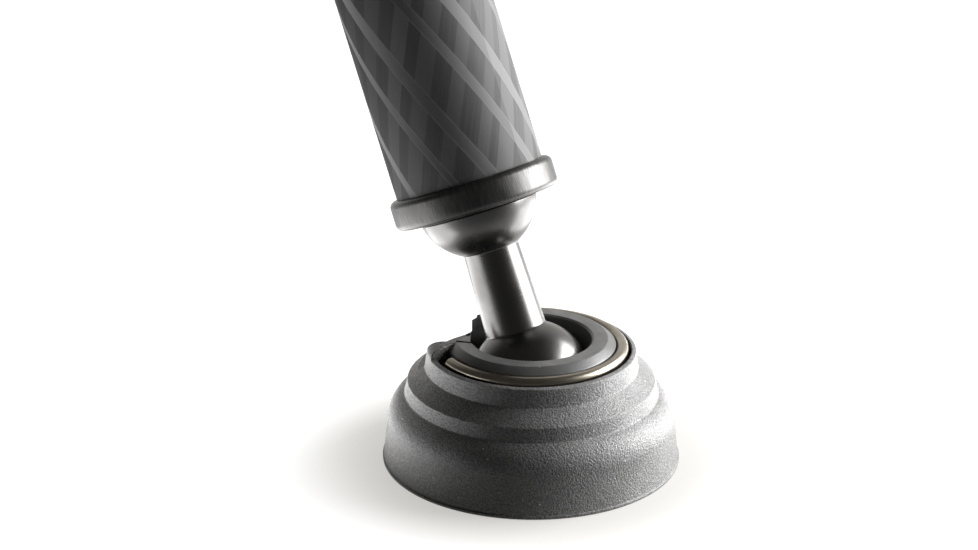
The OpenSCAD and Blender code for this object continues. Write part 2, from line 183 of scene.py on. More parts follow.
def as_object(name, mesh):
    """An object in the scene from a mesh, which is used up."""
    data = bpy.data.meshes.new(name)
    mesh.to_mesh(data)
    mesh.free()
    made = bpy.data.objects.new(name, data)
    bpy.context.scene.collection.objects.link(made)
    return made


def piece(name, mesh, body, slot, place, stands_for):
    """A finished object from a mesh, riding on a body, in place of CAD nodes."""
    close_up(mesh)
    for face in mesh.faces:
        face.smooth = True
    for edge in mesh.edges:
        edge.smooth = edge.calc_face_angle(0) < CREASE
    made = as_object(name, mesh)
    made.data.transform(place)
    made.data.materials.append(FINISHES[slot])
    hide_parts(*stands_for)
    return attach(made, body)


def join(name, operation, *meshes):
    """The solid union of meshes, or the difference of the first and the others, as one mesh."""
    shells = []
    for mesh in meshes:
        close_up(mesh)
        shells.append(as_object(name + "_shell", mesh))
    base = shells[0]
    for tool in shells[1:]:
        cut = base.modifiers.new("join", "BOOLEAN")
        cut.operation = operation
        cut.solver = "MANIFOLD"
        cut.object = tool
    depsgraph = bpy.context.evaluated_depsgraph_get()
    result = bmesh.new()
    result.from_mesh(base.evaluated_get(depsgraph).to_mesh())
    for used in shells:
        bpy.data.objects.remove(used)
    return result


# Node materials

# Sockets of the mix node, whose names repeat
MIX_FACTOR, MIX_FIRST, MIX_SECOND, MIX_RESULT = 0, 6, 7, 2
# Stretches of a noise's value over which a look changes
NOISE_SPREAD = 0.3, 0.7
MOTTLE_SPREAD = 0.35, 0.7


class Nodes:
    """Short ways to add nodes to a shader tree."""

    def __init__(self, tree):
        self.tree = tree

    def give(self, socket, value):
        """Links a socket to another one, or sets its value."""
        if isinstance(value, bpy.types.NodeSocket):
            self.tree.links.new(value, socket)
        else:
            socket.default_value = value

    def node(self, kind, sockets=None, **settings):
        """A new shader node with these settings and inputs."""
        made = self.tree.nodes.new("ShaderNode" + kind)
        for key, value in settings.items():
            setattr(made, key, value)
        for key, value in (sockets or {}).items():
            self.give(made.inputs[key], value)
        return made

    def calc(self, operation, first, second=0.0):
        """The result of a sum on one or two numbers."""
        return self.node("Math", {0: first, 1: second}, operation=operation).outputs[0]

    def span(self, value, low, high, to_low=0.0, to_high=1.0):
        """Value's stretch from low to high, eased on to to_low to to_high."""
        sockets = {"Value": value, "From Min": low, "From Max": high, "To Min": to_low, "To Max": to_high}
        return self.node("MapRange", sockets, interpolation_type="SMOOTHSTEP").outputs["Result"]

    def mix(self, factor, first, second):
        """The first colour at factor 0, the second at 1."""
        sockets = {MIX_FACTOR: factor, MIX_FIRST: first, MIX_SECOND: second}
        return self.node("Mix", sockets, data_type="RGBA").outputs[MIX_RESULT]

    def dot(self, place, direction):
        """How far a point is in this direction."""
        sockets = {0: place, 1: direction}
        return self.node("VectorMath", sockets, operation="DOT_PRODUCT").outputs["Value"]


class Finish(Nodes):
    """A material that is built up node by node round one principled shader."""

    def __init__(self, name, **constants):
        self.material = bpy.data.materials.new(name)
        self.material.use_nodes = True
        super().__init__(self.material.node_tree)
        self.shader = self.tree.nodes["Principled BSDF"]
        self.place = self.node("TexCoord").outputs["Object"]
        self.finish(**constants)

    def blend(self, noise, low, high):
        """A number that goes from low to high with a noise."""
        return self.span(noise, *NOISE_SPREAD, low, high)

    def tones(self, noise, first, second, spread=NOISE_SPREAD):
        """A colour that goes from first to second with a noise."""
        return self.mix(self.span(noise, *spread), first, second)

    def noise(self, place, size, detail=2.0, roughness=0.5):
        """Cloudy noise whose features are about this size."""
        sockets = {"Vector": place, "Scale": 1 / size, "Detail": detail, "Roughness": roughness}
        return self.node("TexNoise", sockets).outputs["Fac"]

    def cells(self, place, size):
        """Distance to the middle of the nearest of many cells, in cells, and that cell's random colour."""
        made = self.node("TexVoronoi", {"Vector": place, "Scale": 1 / size})
        return made.outputs["Distance"], made.outputs["Color"]

    def stretched(self, place, factors):
        """A point or colour with each part of it multiplied."""
        return self.node("VectorMath", {0: place, 1: factors}, operation="MULTIPLY").outputs[0]

    def leg_place(self):
        """The point in the leg's own frame."""
        sockets = {"Vector": self.place, "Location": BALL, "Rotation": (0, -LEAN, 0)}
        return self.node("Mapping", sockets, vector_type="TEXTURE").outputs[0]

    def leg_turn(self):
        """Angle about the leg's axis in turns, and the station along it."""
        apart = self.node("SeparateXYZ", {0: self.leg_place()})
        angle = self.calc("ARCTAN2", apart.outputs["Y"], apart.outputs["X"])
        return self.calc("DIVIDE", angle, 2 * math.pi), apart.outputs["Z"]

    def bump(self, height, depth, under=None):
        """A normal from a height map this deep, over another normal if there is one."""
        sockets = {"Height": height, "Distance": depth}
        if under is not None:
            sockets["Normal"] = under
        return self.node("Bump", sockets).outputs["Normal"]

    def finish(self, **sockets):
        """Gives values to the shader's inputs, with _ for each space in a name."""
        for socket, value in sockets.items():
            self.give(self.shader.inputs[socket.replace("_", " ")], value)
        return self.material


def grey(level, warmth=0.0):
    """A grey that is a little redder, and less blue, by its warmth."""
    return (level * (1 + warmth), level, level * (1 - warmth), 1)


# A speck's outer edge and its solid middle, in cells
SPECK_OUT, SPECK_IN = 0.14, 0.06
# Width of the step between a cell with a speck and one without, in shares of all cells
SPECK_STEP = 0.01


def dust(f, colour, size, share, tint):
    """A few pale specks on a colour."""
    distance, pick = f.cells(f.place, size)
    lot = f.node("SeparateColor", {0: pick}).outputs[0]
    chosen = f.span(lot, 1 - share, 1 - share + SPECK_STEP)
    speck = f.calc("MULTIPLY", chosen, f.span(distance, SPECK_OUT, SPECK_IN))
    return f.mix(speck, colour, tint)


def shoe_rubber():
    """Charcoal moulded rubber with a fine eroded grain, painted shade in its pits and painted light on its peaks,
    faint mottling and specks of dust.
    """
    f = Finish("shoe_rubber", Specular_IOR_Level=0.6)
    grain = f.noise(f.place, 0.32 * MM, 2, 0.6)
    mottle = f.noise(f.place, 7 * MM, 3)
    colour = f.tones(mottle, grey(0.12, 0.01), grey(0.155, 0.01), MOTTLE_SPREAD)
    # The grain's low places are painted darker and its high places lighter: painted shade and painted light
    shaded_pits = f.stretched(colour, (0.65,) * 3)
    lit_peaks = f.stretched(colour, (1.35,) * 3)
    colour = f.mix(f.span(grain, 0.36, 0.64), shaded_pits, lit_peaks)
    colour = dust(f, colour, 1.3 * MM, 0.1, grey(0.6))
    return f.finish(
        Base_Color=colour,
        Roughness=f.blend(grain, 0.52, 0.42),
        Normal=f.bump(grain, 0.13 * MM),
    )


def seat_plastic():
    """Grey glass-filled plastic with a finer grain than the shoe."""
    f = Finish("seat_plastic", Specular_IOR_Level=0.7)
    grain = f.noise(f.place, 0.25 * MM, 2)
    mottle = f.noise(f.place, 3 * MM, 3)
    colour = f.tones(mottle, grey(0.075), grey(0.095), MOTTLE_SPREAD)
    colour = dust(f, colour, 1.3 * MM, 0.06, grey(0.4))
    return f.finish(
        Base_Color=colour,
        Roughness=f.blend(mottle, 0.42, 0.34),
        Normal=f.bump(grain, 0.02 * MM),
    )


def slick_plastic():
    """Off-white bearing plastic with faint flow marks."""
    f = Finish("slick_plastic", Subsurface_Weight=0.05)
    flow = f.noise(f.stretched(f.place, (1, 1, 0.3)), 4 * MM, 3)
    return f.finish(
        Base_Color=f.tones(flow, grey(0.62, 0.02), grey(0.72, 0.03)),
        Roughness=f.blend(flow, 0.48, 0.38),
        Normal=f.bump(flow, 0.02 * MM),
    )


def wire():
    """Drawn spring wire with a warm bronze-grey skin."""
    f = Finish("wire", Metallic=1.0)
    drawn = f.noise(f.stretched(f.place, (1, 1, 4)), 2.5 * MM, 3, 0.5)
    return f.finish(
        Base_Color=f.tones(drawn, (0.24, 0.215, 0.175, 1), (0.3, 0.27, 0.225, 1)),
        Roughness=f.blend(drawn, 0.34, 0.28),
        Normal=f.bump(drawn, 0.004 * MM),
    )


def stud_metal():
    """Dark nickel-plated steel, turned and lightly blasted."""
    f = Finish("stud_metal", Metallic=1.0)
    grain = f.noise(f.place, 0.18 * MM, 2)
    cloud = f.noise(f.place, 6 * MM, 3)
    turned = f.noise(f.stretched(f.leg_place(), (0.05, 0.05, 1)), 0.12 * MM, 2)
    lines = f.bump(turned, 0.003 * MM)
    return f.finish(
        Base_Color=f.tones(cloud, grey(0.1, 0.015), grey(0.125, 0.025)),
        Roughness=f.blend(cloud, 0.33, 0.26),
        Normal=f.bump(grain, 0.004 * MM, lines),
    )


def dark_metal():
    """Dark anodised aluminium with short marks along the leg from its machining."""
    f = Finish("dark_metal", Metallic=1.0)
    turn, station = f.leg_turn()
    around = f.calc("MULTIPLY", turn, 90 * MM)
    along = f.calc("MULTIPLY", station, 0.08)
    marks_place = f.node("CombineXYZ", {"X": around, "Y": along}).outputs[0]
    marks = f.noise(marks_place, 0.22 * MM, 3, 0.6)
    cloud = f.noise(f.place, 5 * MM, 3)
    return f.finish(
        Base_Color=f.tones(marks, grey(0.06, 0.01), grey(0.095, 0.02)),
        Roughness=f.blend(cloud, 0.44, 0.36),
        Normal=f.bump(marks, 0.016 * MM),
    )


class Winding:
    """One family of carbon ribbons: angle to the leg, spacing, and half widths in spacings."""

    def __init__(self, angle, pitch, narrow, wide, seed):
        self.slope = math.radians(angle)
        self.pitch = pitch
        self.narrow = narrow
        self.wide = wide
        self.seed = seed


UNDER_WINDING = Winding(angle=-25, pitch=5.7 * MM, narrow=0.2, wide=0.31, seed=3)
OVER_WINDING = Winding(angle=26, pitch=7.6 * MM, narrow=0.08, wide=0.14, seed=12)
# A ribbon's stray from its place and the half width of its edge, both in spacings
RIBBON_STRAY = 0.3
RIBBON_EDGE = 0.012
# Width of a fibre in spacings, and the factor that draws it out along the leg
FIBRE_W, FIBRE_RUN = 0.05, 3


def ribbons(f, turn, station, radius, winding):
    """The ribbons' random tone, their cover, a painted highlight along their edges, and the fine fibres along
    them.
    """
    count = round(2 * math.pi * radius / winding.pitch)
    rise = count * math.tan(winding.slope) / (2 * math.pi * radius)
    across = f.calc("ADD", f.calc("MULTIPLY", turn, count), f.calc("MULTIPLY", station, rise))
    ribbon = f.calc("FLOORED_MODULO", f.calc("FLOOR", across), count)
    random = f.node("TexWhiteNoise", {"W": f.calc("ADD", ribbon, winding.seed)}, noise_dimensions="1D")
    picks = f.node("SeparateColor", {0: random.outputs["Color"]}).outputs
    stray = f.calc("MULTIPLY", f.calc("SUBTRACT", picks[0], 0.5), RIBBON_STRAY)
    middle = f.calc("ADD", f.calc("SUBTRACT", f.calc("FRACT", across), 0.5), stray)
    half = f.span(random.outputs["Value"], 0, 1, winding.narrow, winding.wide)
    inside = f.calc("SUBTRACT", half, f.calc("ABSOLUTE", middle))
    cover = f.span(inside, -RIBBON_EDGE, RIBBON_EDGE)
    # A painted highlight along each ribbon's edges
    edge = f.span(f.calc("ABSOLUTE", inside), 2 * RIBBON_EDGE, 0)
    fibre_place = f.node("CombineXYZ", {"X": across, "Y": f.calc("MULTIPLY", station, FIBRE_RUN)})
    return picks[1], cover, edge, f.noise(fibre_place.outputs[0], FIBRE_W, 3, 0.6)


def across_fibres(f, winding):
    """The direction on the tube's skin at right angles to the fibres of one family of ribbons."""
    normal = f.node("NewGeometry").outputs["Normal"]
    around = f.node("VectorMath", {0: LEG_AXIS, 1: normal}, operation="CROSS_PRODUCT").outputs[0]
    sideways = f.stretched(around, (math.cos(winding.slope),) * 3)
    along = LEG_AXIS * -math.sin(winding.slope)
    return f.node("VectorMath", {0: sideways, 1: along}, operation="ADD").outputs[0]


def carbon(node):
    """Satin lacquered tube of carbon ribbons wound both ways."""
    radius = leg_radius(node)
    f = Finish("carbon_" + node, Metallic=1.0, Anisotropic=0.9, Coat_Weight=0.15, Coat_Roughness=0.5)
    turn, station = f.leg_turn()
    under_tone, under, _, under_fibres = ribbons(f, turn, station, radius, UNDER_WINDING)
    over_tone, over, over_edge_highlight, over_fibres = ribbons(f, turn, station, radius, OVER_WINDING)
    colour = f.tones(under_fibres, grey(0.1), grey(0.12))
    colour = f.mix(under, colour, f.mix(under_tone, grey(0.135), grey(0.165)))
    colour = f.mix(over, colour, f.mix(over_tone, grey(0.165), grey(0.215)))
    # Pale lines along the over ribbons' edges: a painted highlight
    colour = f.mix(f.calc("MULTIPLY", over_edge_highlight, 0.3), colour, grey(0.34))
    fibres = f.calc("ADD", under_fibres, over_fibres)
    return f.finish(
        Base_Color=colour,
        Roughness=f.span(over, 0, 1, 1.0, 0.94),
        Normal=f.bump(fibres, 0.01 * MM),
        Tangent=f.mix(over, across_fibres(f, UNDER_WINDING), across_fibres(f, OVER_WINDING)),
    )


def lock_rubber():
    """Matt black rubber of the lock grips."""
    f = Finish("lock_rubber")
    grain = f.noise(f.place, 0.4 * MM, 3, 0.6)
    mottle = f.noise(f.place, 8 * MM, 3)
    colour = f.tones(mottle, grey(0.028), grey(0.045), MOTTLE_SPREAD)
    return f.finish(
        Base_Color=dust(f, colour, 3 * MM, 0.08, grey(0.2)),
        Roughness=f.blend(grain, 0.75, 0.6),
        Normal=f.bump(grain, 0.05 * MM),
    )


def seal_felt():
    """Black felt of the dust seals."""
    f = Finish("seal_felt", Sheen_Weight=0.3)
    fibres = f.noise(f.stretched(f.place, (1, 1, 0.4)), 0.15 * MM, 4, 0.7)
    return f.finish(
        Base_Color=f.tones(fibres, grey(0.012), grey(0.04), MOTTLE_SPREAD),
        Roughness=f.blend(fibres, 1.0, 0.85),
        Normal=f.bump(fibres, 0.08 * MM),
    )


def foam():
    """Closed-cell foam of the hand grip, ground to size."""
    f = Finish("foam", Sheen_Weight=0.15, Sheen_Roughness=0.6)
    distance, _ = f.cells(f.place, 0.5 * MM)
    cloud = f.noise(f.place, 9 * MM, 4, 0.6)
    pores = f.span(distance, 0.1, 0.6)
    colour = f.tones(cloud, grey(0.03), grey(0.048))
    return f.finish(
        # The pores' middles are painted near black: painted shade in their hollows
        Base_Color=f.mix(pores, grey(0.012), colour),
        Roughness=f.blend(cloud, 0.9, 0.78),
        Normal=f.bump(pores, 0.09 * MM),
    )


def pad_rubber():
    """Black rubber pad of the camera plate with a fine grain."""
    f = Finish("pad_rubber")
    grain = f.noise(f.place, 0.3 * MM, 3, 0.6)
    cloud = f.noise(f.place, 6 * MM, 3)
    return f.finish(
        Base_Color=f.tones(cloud, grey(0.022), grey(0.036)),
        Roughness=f.blend(grain, 0.8, 0.62),
        Normal=f.bump(grain, 0.05 * MM),
    )


def screw_steel():
    """Bright turned steel of the screws."""
    f = Finish("screw_steel", Metallic=1.0)
    turned = f.noise(f.stretched(f.leg_place(), (0.1, 0.1, 1)), 0.15 * MM, 3)
    cloud = f.noise(f.place, 3 * MM, 3)
    return f.finish(
        Base_Color=f.tones(cloud, grey(0.56, 0.01), grey(0.66, 0.02)),
        Roughness=f.blend(turned, 0.34, 0.22),
        Normal=f.bump(turned, 0.01 * MM),
    )


FINISHES = {
    "shoe_rubber": shoe_rubber(),
    "seat_plastic": seat_plastic(),
    "slick_plastic": slick_plastic(),
    "wire": wire(),
    "stud_metal": stud_metal(),
    "dark_metal": dark_metal(),
    "lock_rubber": lock_rubber(),
    "seal_felt": seal_felt(),
    "foam": foam(),
    "pad_rubber": pad_rubber(),
    "screw_steel": screw_steel(),
}

for part in frame["record"]["subparts"]:
    node, slot = part["node"], part["material_slot"]
    finish = carbon(node) if slot == "carbon" else FINISHES[slot]
    frame["nodes"][node].material_slots[0].material = finish


# Pieces that stand for CAD nodes. Their outlines are in millimetres, like the CAD's own sizes

IN_MM = Matrix.Scale(MM, 4)
SLOT_TURN = math.radians(205)
FOOT_MM = IN_MM @ Matrix.Rotation(SLOT_TURN, 4, "Z")
LEG_MM = LEG @ IN_MM
# Depth to which a form's root is sunk in the form below it
SINK = 0.4
# Clearance between pieces that are bonded together
FIT = 0.03

BALL_Z = BALL.z / MM
BALL_R = 10.0
BALL_ROOM = 10.08
CUP_ROOM = 11.06

# Shoe, from the sole up
SOLE_T = 1.9
TREAD_W, TREAD_D, TREADS, TREAD_ROUND = 2.2, 0.7, 3, 0.2
LIP_W, LIP_H = 0.2, 0.5
SKIRT_R, SKIRT_Z = 24.65, 0.6
SHOULDER_MID, SHOULDER_R = Vector((18.15, 6.6)), 5.8
STEP_R = 21.1
LEDGE_R, LEDGE_Z = 20.55, 13.89
RIM_R, RIM_Z = 17.7, 16.14
RIM_ROOT_R, RIM_ROOT_Z = RIM_R - 0.16, RIM_Z + 0.9
BEVEL_R, BEVEL_Z = 17.3, 19.1
RIM_IN_R, RIM_TOP = 16.5, 19.4

# Collar, ring and slot. The slot runs along +X, with the web on its +Y side
COLLAR_TOP = 21.19
COLLAR_FIT = 0.06
MOUTH_R = 9.95
WIRE_MID_R, WIRE_Z, WIRE_R = 15.0, 19.35, 1.0
WIRE_GAP = math.radians(43)
SLOT_HALF = 6.6
RIM_GAP = 11.5
WEB_TIP = Vector((11.0, 5.4))
WEB_SLANT = math.radians(50)
WEB_TOP, WEB_ROUND = 21.09, 3.4
WEB_EDGE, WEB_FANS = 0.35, 40
SLOT_FLOOR = 15.25


def web_ray(slant, radius):
    """A ray from the web's tip at this slant, and how far along it is this far from the foot's axis."""
    ray = Vector((math.cos(slant), math.sin(slant)))
    along = WEB_TIP.dot(ray)
    reach = math.sqrt(max(0, along ** 2 - WEB_TIP.length_squared + radius ** 2)) - along
    return ray, reach


def web_height(radius):
    """Height of the web's rounded top."""
    out = max(0, radius - BEVEL_R + WEB_ROUND) / WEB_ROUND
    return BEVEL_Z + (WEB_TOP - BEVEL_Z) * math.sqrt(max(0, 1 - out ** 2))


def below_slot(half):
    """Where a bar that runs round the foot ends at the slot's far side, for each radius."""
    return lambda radius: 2 * math.pi - math.asin(half / radius)


def slot_room(low_y):
    """The block that is cut away to sink the slot's floor, from low_y to the web."""
    mesh = bmesh.new()
    bmesh.ops.create_cube(mesh, size=1)
    far, high, side = 30.0, 24.0, WEB_TIP.y - 0.02
    size = Matrix.Diagonal((far, side - low_y, high - SLOT_FLOOR, 1))
    place = Matrix.Translation((far / 2, (side + low_y) / 2, (high + SLOT_FLOOR) / 2))
    bmesh.ops.transform(mesh, matrix=place @ size, verts=mesh.verts)
    return mesh


def shoe_base():
    """The shoe up to the rim's root, with tread rings below and the seat's room inside."""
    treads = []
    for i in range(1, TREADS + 1):
        low = 2 * i * TREAD_W
        high = (2 * i + 1) * TREAD_W
        steps = [(low, 0), (low, TREAD_D), (high, TREAD_D), (high, 0)]
        treads += [(radius, height, TREAD_ROUND) for radius, height in steps]
    end = math.acos((STEP_R - SHOULDER_MID.x) / SHOULDER_R)
    *shoulder, (crease_r, crease_z, _) = arc_corners(SHOULDER_MID, SHOULDER_R, 0, end, 24)
    lip_r = SKIRT_R + LIP_W
    whole = stack(rounded([
        (0, 0, 0), *treads, (lip_r, 0, 0.15), (lip_r, LIP_H, 0.2), (SKIRT_R, SKIRT_Z, 0.1),
        *shoulder, (crease_r, crease_z, 0.5), (LEDGE_R, LEDGE_Z, 0.35), (RIM_R, RIM_Z, 0.5),
        (RIM_ROOT_R, RIM_ROOT_Z, 0), (RIM_IN_R, RIM_ROOT_Z, 0), (RIM_IN_R, SOLE_T, 0.3), (0, SOLE_T, 0),
    ]))
    return join("shoe_base", "DIFFERENCE", whole, slot_room(-RIM_GAP))


def shoe_rim():
    """The rim's wall, from the web round to its open end beyond the slot."""
    draft = (RIM_R - BEVEL_R) / (BEVEL_Z - RIM_Z)
    inner = RIM_IN_R + 0.02
    root = RIM_Z - SINK
    outline = rounded([
        (RIM_R + draft * SINK, root, 0), (BEVEL_R, BEVEL_Z, 0.2), (inner, RIM_TOP, 0.15), (inner, root, 0),
    ])
    start = math.asin((WEB_TIP.y + 0.2) / RIM_IN_R)
    return ring_sweep(outline, lambda radius: start, below_slot(RIM_GAP), 0.3)


def shoe_web():
    """The rim's end, turned in to the collar: a fan of upright sections from its tip."""
    half = WEB_SLANT / 2
    tip_r = WEB_TIP.length
    floor = RIM_Z + FIT
    rise = 24
    ends = quarter_round(WEB_EDGE)
    sections = [(0, shift, drop) for shift, drop in ends]
    sections += [(i / WEB_FANS, WEB_EDGE * (1 - 2 * i / WEB_FANS), 0) for i in range(1, WEB_FANS)]
    sections += [(1, -shift, drop) for shift, drop in reversed(ends)]
    radii = [tip_r + (BEVEL_R - tip_r) * math.sin(math.pi / 2 * i / rise) for i in range(rise + 1)]
    mesh = bmesh.new()

    def spot(share, shift, radius, height, drop=0):
        """A vertex on the section at this share of the fan, shifted and lowered at its rounded edge."""
        slant = share * WEB_SLANT
        for _ in range(3):
            ray, reach = web_ray(slant, radius)
            slant = share * WEB_SLANT + shift / max(reach, WEB_EDGE / half)
        at = WEB_TIP + ray * reach
        return mesh.verts.new((at.x, at.y, height - drop * min(1, reach * half / WEB_EDGE)))

    rows = []
    for share, shift, drop in sections:
        row = [spot(share, shift, radius, web_height(radius), drop) for radius in radii]
        row.append(spot(share, shift, RIM_R + 0.1, RIM_Z - SINK))
        row.append(spot(share, shift, RIM_IN_R + 0.1, floor))
        row.append(spot(share, shift, tip_r, floor))
        rows.append(row)
    skin(mesh, rows)
    return mesh


def seat_base():
    """The seat's body, with room for the cup in its lower half and for the ball above."""
    middle = Vector((0, BALL_Z))
    rise = math.asin((RIM_Z - BALL_Z) / BALL_ROOM)
    outer = RIM_IN_R - FIT
    floor = SOLE_T + FIT
    whole = stack(rounded([
        *arc_corners(middle, CUP_ROOM, -math.pi / 2, math.pi / 2, 24),
        *arc_corners(middle, BALL_ROOM, 0, rise, 8),
        (outer, RIM_Z, 0.3), (outer, floor, 0.3), (0, floor, 0),
    ]))
    return join("seat_base", "DIFFERENCE", whole, slot_room(-SLOT_HALF))


def seat_collar():
    """The split collar, from the web round to the slot's far side."""
    def start(radius):
        if radius <= WEB_TIP.length:
            return math.asin(WEB_TIP.y / radius) + COLLAR_FIT / radius
        ray, reach = web_ray(WEB_SLANT, radius)
        spot = WEB_TIP + reach * ray
        return math.atan2(spot.y, spot.x) + COLLAR_FIT / radius

    root_r, root = 9.76, RIM_Z - SINK
    throat_r, throat_z, mouth_z = 9.3, 17.43, 20.89
    chamfer_r, chamfer_z = 12.6, 20.15
    wall = WIRE_MID_R - WIRE_R - FIT
    foot, foot_z, wall_z = wall + 0.23, 17.9, 18.2
    outline = rounded([
        (root_r, root, 0), (throat_r, throat_z, 0.2), (MOUTH_R, mouth_z, 0.2),
        (MOUTH_R + 0.35, COLLAR_TOP, 0.25), (chamfer_r, COLLAR_TOP, 0.5), (wall, chamfer_z, 0.35),
        (wall, wall_z, 0), (foot, foot_z, 0), (foot, root, 0),
    ])
    return ring_sweep(outline, start, below_slot(SLOT_HALF), 0.15)


def snap_ring():
    """The open wire ring."""
    outline = arc_points(Vector((WIRE_MID_R, WIRE_Z)), WIRE_R, 0, 2 * math.pi, 32)[:-1]
    return ring_sweep(outline, lambda radius: WIRE_GAP, lambda radius: 2 * math.pi - WIRE_GAP, 0.55)


def ball_stud():
    """Ball, tapered stem, dome, neck and shank, along the leg from the ball's middle."""
    stem_low, stem_high = 5.1, 4.65
    dome_mid, dome_r, dome_top = 31.75, 10.1, 29.7
    neck_r, neck_top = 5.2, 29.9
    shank_r, shank_top = 4.7625, 43.0
    crease = 0.05
    ball_turn = math.pi / 2 + math.acos(stem_low / BALL_R) - crease
    dome_start = -math.acos(stem_high / dome_r)
    dome_turn = -math.asin((dome_mid - dome_top) / dome_r) - dome_start - crease
    stem_start = math.sqrt(BALL_R ** 2 - stem_low ** 2)
    stem_end = dome_mid - math.sqrt(dome_r ** 2 - stem_high ** 2)
    middle = Vector((0, dome_mid))
    *dome, (edge_r, edge_z, _) = arc_corners(middle, dome_r, dome_start + crease, dome_turn, 36)
    return stack(rounded([
        *arc_corners(Vector((0, 0)), BALL_R, -math.pi / 2, ball_turn, 60),
        (stem_low, stem_start, 0.4), (stem_high, stem_end, 0.35), *dome, (edge_r, edge_z, 0.3),
        (neck_r, dome_top, 0.15), (neck_r, neck_top, 0), (shank_r, neck_top, 0), (shank_r, shank_top, 0.6),
        (0, shank_top, 0),
    ]))


def end_plug():
    """Flanged plug in the lowest tube, with a blind bore for the stud's shank."""
    flange, low, seat, spigot = 13.9, 29.93, 34.93, 11.17
    bore, depth = 4.8425, 44.83
    top = seat + 28
    return stack(rounded([
        (bore, low, 0.2), (flange, low, 1.1), (flange, seat, 1.1), (spigot, seat, 0),
        (spigot, top, 0.6), (0, top, 0), (0, depth, 0), (bore, depth, 0),
    ], 8))


def hexagon(half_width):
    """The radius of a hexagonal socket at each angle."""
    def size(angle):
        return half_width / math.cos((angle + math.pi / 6) % (math.pi / 3) - math.pi / 6)
    return size


def camera_screw():
    """Collared 3/8 inch screw with 16 threads to the inch and a hexagonal socket in its end."""
    crest, root, pitch = 4.7625, 3.9, 25.4 / 16
    low, collar_low, collar_top, top = 616.73, 634.76, 636.76, 647.73
    collar, bevel_low, bevel_top = 8, 0.3, 0.5
    run_out, chamfer, socket_deep = 1.0, 1.1, 3.0
    flank_out, flank_in = 3 / 8, 1 / 16

    def thread(height):
        def size(angle):
            share = (height / pitch - angle / (2 * math.pi)) % 1
            flank = min(1, max(0, (flank_out - abs(share - 0.5)) / (flank_out - flank_in)))
            grown = min(1, max(0, (height - collar_top) / run_out))
            return min(root + (crest - root) * flank * grown, crest - max(0, height - top + chamfer))
        return size

    turns = 96
    socket = hexagon(1.9)
    rings = [(0, low), (crest, low), (crest, collar_low)]
    rings += [(collar - bevel_low, collar_low), (collar, collar_low + bevel_low)]
    rings += [(collar, collar_top - bevel_top), (collar - bevel_top, collar_top), (root, collar_top)]
    for i in range(1, turns + 1):
        height = collar_top + (top - collar_top) * i / turns
        rings.append((thread(height), height))
    rings += [(socket, top), (socket, top - socket_deep), (0, top - socket_deep - 0.5)]
    return stack(rings, turns)


def set_screws():
    """Three grub screws in a circle, each with a hexagonal socket."""
    count, pitch_r = 3, 19.0
    radius, low, top = 2.0, 628.76, 636.73
    point, chamfer, socket_deep = 0.4, 0.3, 2
    socket = hexagon(1.0)
    rings = [(0, low), (radius - point, low), (radius, low + point)]
    rings += [(radius, top - chamfer), (radius - chamfer, top)]
    rings += [(socket, top), (socket, top - socket_deep), (0, top - socket_deep - 0.3)]
    whole = bmesh.new()
    for i in range(count):
        one = stack(rings, 48)
        turn = Matrix.Rotation(2 * math.pi * (i + 1) / count, 4, "Z")
        bmesh.ops.transform(one, matrix=turn @ Matrix.Translation((pitch_r, 0, 0)), verts=one.verts)
        data = bpy.data.meshes.new("one")
        one.to_mesh(data)
        one.free()
        whole.from_mesh(data)
        bpy.data.meshes.remove(data)
    return whole


def hand_grip():
    """Foam with soft ends, a slight crown and the uneven skin of ground foam."""
    inner, outer, low, high, round_r = 18.68, 23.98, 442.73, 592.73, 2.5
    crown, rough, grain, rows = 0.25, 0.09, 0.9, 420

    def end_round(height, start):
        middle = Vector((outer - crown - round_r, height))
        return [tuple(point) for point in arc_points(middle, round_r, start, math.pi / 2, 8)]

    def uneven(height, share):
        def size(angle):
            spot = Vector((outer * math.cos(angle), outer * math.sin(angle), height))
            return outer - crown * (1 - math.sin(math.pi * share)) ** 4 + rough * noise.noise(spot / grain)
        return size

    rings = [(inner, high), (inner, low), *end_round(low + round_r, -math.pi / 2)]
    for i in range(1, rows):
        height = low + round_r + i / rows * (high - low - 2 * round_r)
        rings.append((uneven(height, i / rows), height))
    rings += end_round(high - round_r, 0)
    return stack(rings)


shoe = join("shoe", "UNION", shoe_base(), shoe_rim(), shoe_web())
seat = join("seat", "UNION", seat_base(), seat_collar())
piece("shoe", shoe, "foot", "shoe_rubber", FOOT_MM, ["foot_shoe"])
piece("seat", seat, "foot", "seat_plastic", FOOT_MM, ["ball_seat"])
piece("snap_ring", snap_ring(), "foot", "wire", FOOT_MM, ["retaining_ring"])
piece("stud", ball_stud(), "stud", "stud_metal", LEG_MM, ["ball_stud"])
piece("end_plug", end_plug(), "section_4", "dark_metal", LEG_MM, ["leg_end_plug"])
piece("screw", camera_screw(), "upper_leg", "screw_steel", LEG_MM, ["camera_screw"])
piece("grub_screws", set_screws(), "upper_leg", "screw_steel", LEG_MM, ["set_screws"])
piece("hand_grip", hand_grip(), "upper_leg", "foam", LEG_MM, ["grip_sleeve"])


# Camera, as fitted to the photograph

IMAGE_W = 978
FOCAL_PX = 2356.1
SENSOR_W = 36.0
VIEW_AZIMUTH = math.radians(40)
VIEW_REACH = 359.4 * MM
VIEW_HEIGHT = 169.85 * MM
VIEW_PITCH = math.radians(20.98)
VIEW_YAW = math.radians(1.12)

TO_CAMERA = Vector((math.sin(VIEW_AZIMUTH), -math.cos(VIEW_AZIMUTH), 0))
TO_RIGHT = Vector((math.cos(VIEW_AZIMUTH), math.sin(VIEW_AZIMUTH), 0))
UP = Vector((0, 0, 1))


